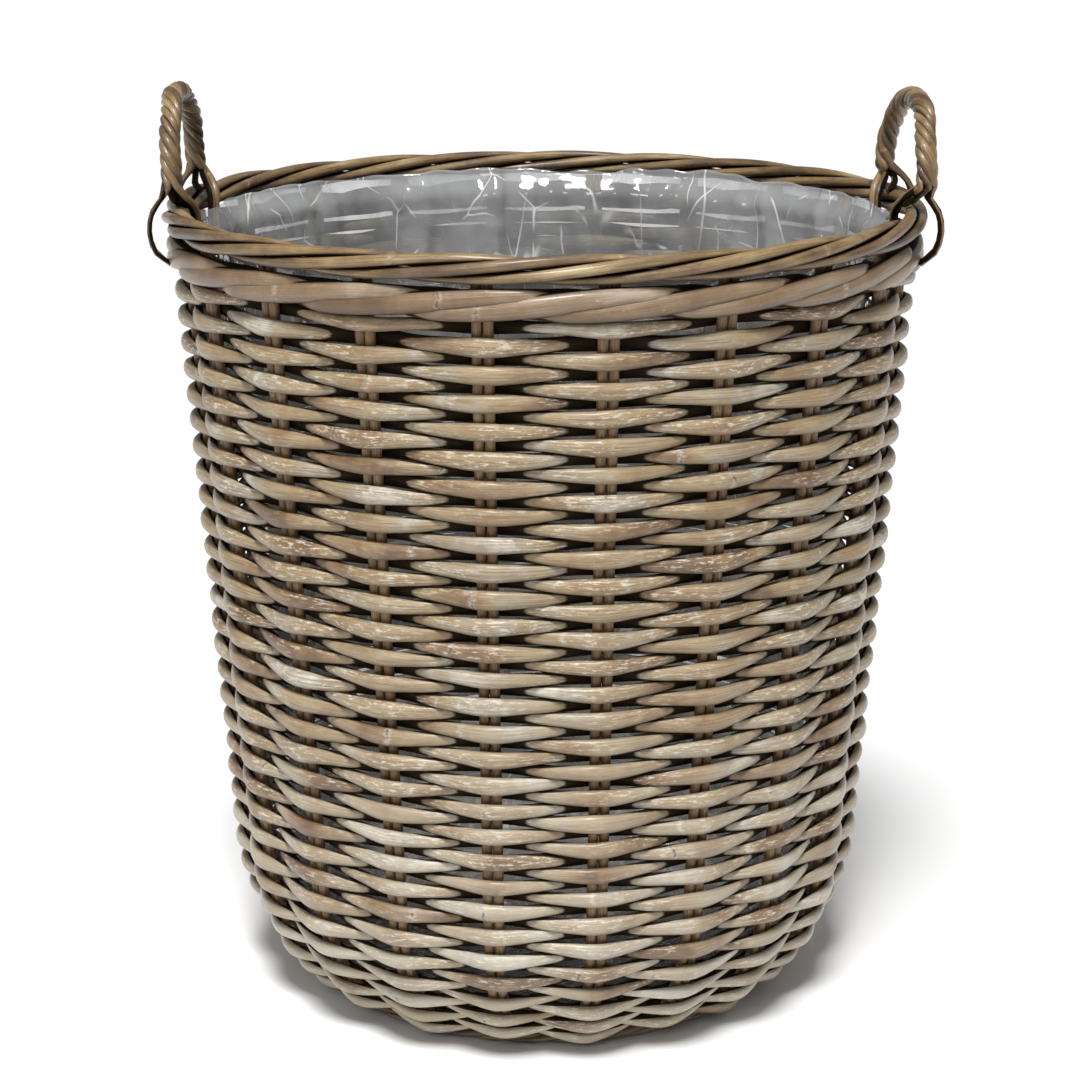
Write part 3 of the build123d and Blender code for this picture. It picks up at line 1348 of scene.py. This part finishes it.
@dataclass
class Liner:
    """A loose bag of clear film, crumpled against the inside of the wall."""

    line: WallLine
    floor: float = 0.0235
    gap: float = 0.018
    wale_gap: float = 0.0158
    top_gap: float = 0.0080
    top: float = 0.5255
    floor_reach: float = 0.138
    floor_share: float = 0.14
    around: int = 400
    rows: int = 116
    fold: float = 0.0055
    crumple: float = 0.0028
    thickness: float = 0.0002
    flat: tuple[float, float] = (1.42, 0.66)
    seed: float = 7.0

    def profile(self, share: float, azimuth: float) -> tuple[Vector, Vector]:
        """A point of the smooth bag and its outward direction.

        Args:
            share: Place from the floor's middle, at 0, to the top edge, at 1.
            azimuth: Angle about Z.

        Returns:
            The point and the direction.
        """
        if share < self.floor_share:
            reach = self.floor_reach * share / self.floor_share
            return Vector((reach * cos(azimuth), reach * sin(azimuth), self.floor)), Vector((0, 0, -1))
        edge = self.top + 0.004 * noise.noise(Vector((3 * cos(azimuth), 3 * sin(azimuth), self.seed)))
        edge += 0.003 * noise.noise(Vector((11 * cos(azimuth), 11 * sin(azimuth), self.seed)))
        rise = (share - self.floor_share) / (1 - self.floor_share)
        along = edge * (1.62 * rise - 0.62 * rise * rise)
        offset = -self.gap + (self.gap - self.wale_gap) * smooth_step((along - 0.42) / 0.06)
        offset += (self.wale_gap - self.top_gap) * smooth_step((along - 0.507) / 0.018)
        low = self.line.point(along, offset, azimuth)
        low.z = max(low.z, self.floor)
        outward = Vector((cos(azimuth), sin(azimuth), -0.2)).normalized()
        return low, outward

    def push(self, point: Vector, azimuth: float, share: float) -> float:
        """How far the crumpled film stands from the smooth bag.

        Args:
            point: The point on the smooth bag.
            azimuth: Angle about Z.
            share: Place from the floor's middle to the top edge.

        Returns:
            The distance, outwards.
        """
        turn = Vector((cos(azimuth), sin(azimuth), 0))
        tilt = noise.noise(point * 6 + Vector((self.seed, 0, 0)))
        ribs = noise.noise(Vector((turn.x * 7 + tilt, turn.y * 7 + tilt, point.z * 3.0 + self.seed)))
        fine = noise.noise(Vector((turn.x * 19 + 2 * tilt, turn.y * 19, point.z * 9 + self.seed)))
        slanted = Vector((point.x, point.y, point.z * 0.6 + 0.3 * turn.x))
        cells = noise.voronoi(slanted * 15 + Vector((tilt, tilt, self.seed)))[0]
        small = noise.voronoi(point * 42 + Vector((0, tilt, self.seed)))[0]
        folds = (1 - 2 * abs(ribs)) * 0.6 + (0.5 - abs(fine)) * 0.6
        facets = min(cells[1] - cells[0], 0.5) - 0.22 + 0.3 * (min(small[1] - small[0], 0.4) - 0.2)
        calm = smooth_step(share / 0.2)
        return -self.fold * calm * (folds + 0.1) + self.crumple * facets * 2 * (0.25 + 0.75 * calm)

    def build(self, material: Material) -> None:
        """Crumple the bag and give it its thickness.

        Args:
            material: The film material.
        """
        bm = bmesh.new()
        bmesh.ops.create_grid(bm, x_segments=self.around, y_segments=self.rows, size=0.5)
        for vert in bm.verts:
            azimuth = (vert.co.x + 0.5) * tau
            share = vert.co.y + 0.5
            point, outward = self.profile(share, azimuth)
            away = self.push(point, azimuth, share)
            limit = 0.001 if share < 0.9 else 0.0
            vert.co = point + outward * min(away, 0.006 * (1 - share) + limit)
        bmesh.ops.remove_doubles(bm, verts=bm.verts, dist=2e-6)
        bmesh.ops.recalc_face_normals(bm, faces=list(bm.faces))
        film = mesh_object("film_liner", bm, material)
        shell = film.modifiers.new("thickness", "SOLIDIFY")
        shell.thickness = self.thickness
        shell.offset = -1.0
        ride_and_replace(film, ["liner_film"])


# ---------------------------------------------------------------- stage


@dataclass
class Studio:
    """Pale floor, soft lights and the camera."""

    distance: float = 1.69
    eye: float = 0.751
    pitch: float = radians(15.05)
    lens: float = 86.2
    side: float = -0.0033
    sky: float = 0.28
    floor_reach: float = 40.0

    def floor(self) -> None:
        """Lay the floor."""
        bm = bmesh.new()
        bmesh.ops.create_grid(bm, x_segments=4, y_segments=4, size=self.floor_reach)
        floor = mesh_object("floor", bm, FLOOR_FINISH.build())

    def camera(self) -> None:
        """Set the camera in front of the basket."""
        data = bpy.data.cameras.new("camera")
        data.lens = self.lens
        data.sensor_width = 36.0
        camera = bpy.data.objects.new("camera", data)
        camera.location = (self.side, -self.distance, self.eye)
        camera.rotation_euler = (pi / 2 - self.pitch, 0.0, 0.0)
        bpy.context.scene.collection.objects.link(camera)
        bpy.context.scene.camera = camera

    def light(self, name: str, place: Vector, target: Vector, size: float, power: float) -> None:
        """Hang one soft light.

        Args:
            name: The light's name.
            place: Where it hangs.
            target: What it points at.
            size: Its width.
            power: Its watts.
        """
        data = bpy.data.lights.new(name, "AREA")
        data.shape = "DISK"
        data.size = size
        data.energy = power
        lamp = bpy.data.objects.new(name, data)
        lamp.location = place
        lamp.rotation_euler = (target - place).to_track_quat("-Z", "Y").to_euler()
        bpy.context.scene.collection.objects.link(lamp)

    def build(self) -> None:
        """Set the whole stage."""
        self.floor()
        self.camera()
        middle = Vector((0, 0, 0.35))
        self.light("top_light", Vector((-0.25, -0.9, 2.2)), middle, size=0.4, power=16.0)
        self.light("front_left", Vector((-1.4, -2.8, 1.9)), middle, size=0.8, power=12.0)
        sun = bpy.data.lights.new("sky_light", "SUN")
        sun.energy = 3.3
        sun.angle = radians(14.0)
        lamp = bpy.data.objects.new("sky_light", sun)
        lamp.rotation_euler = (radians(27.0), radians(-2.0), 0.0)
        bpy.context.scene.collection.objects.link(lamp)
        world = bpy.data.worlds.new("studio")
        world.use_nodes = True
        background = world.node_tree.nodes["Background"]
        background.inputs[0].default_value = (1.0, 1.0, 1.0, 1.0)
        background.inputs[1].default_value = self.sky
        bpy.context.scene.world = world
        bpy.context.scene.view_settings.view_transform = "Standard"


def main() -> None:
    """Build the basket's looks, part by part."""
    logging.basicConfig(level=logging.INFO, format="%(name)s %(message)s")
    weaver = WEAVER_FINISH.build()
    rim = RIM_FINISH.build()
    wale = WALE_FINISH.build()
    stake = STAKE_FINISH.build()
    WovenWall(WallLine.from_frame()).build(weaver)
    for ring in rim_rings():
        ring.build(rim if ring.slot is Slot.RIM else wale)
    BaseWeave().build(weaver)
    handles = (
        Handle(Side.LEFT, front_reach=0.2355, top_reach=0.2390, back_reach=0.2350, top=0.5960),
        Handle(Side.RIGHT, front_reach=0.2400, top_reach=0.2405, back_reach=0.2292, top=0.5925),
    )
    for handle in handles:
        handle.build(rim)
    Liner(WallLine.from_frame()).build(FILM_FINISH.build())
    for name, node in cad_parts.items():
        if name.startswith(("stake_pair", "base_sticks")):
            node.data.materials.clear()
            node.data.materials.append(stake)
    Studio().build()


if __name__ == "__main__":
    main()
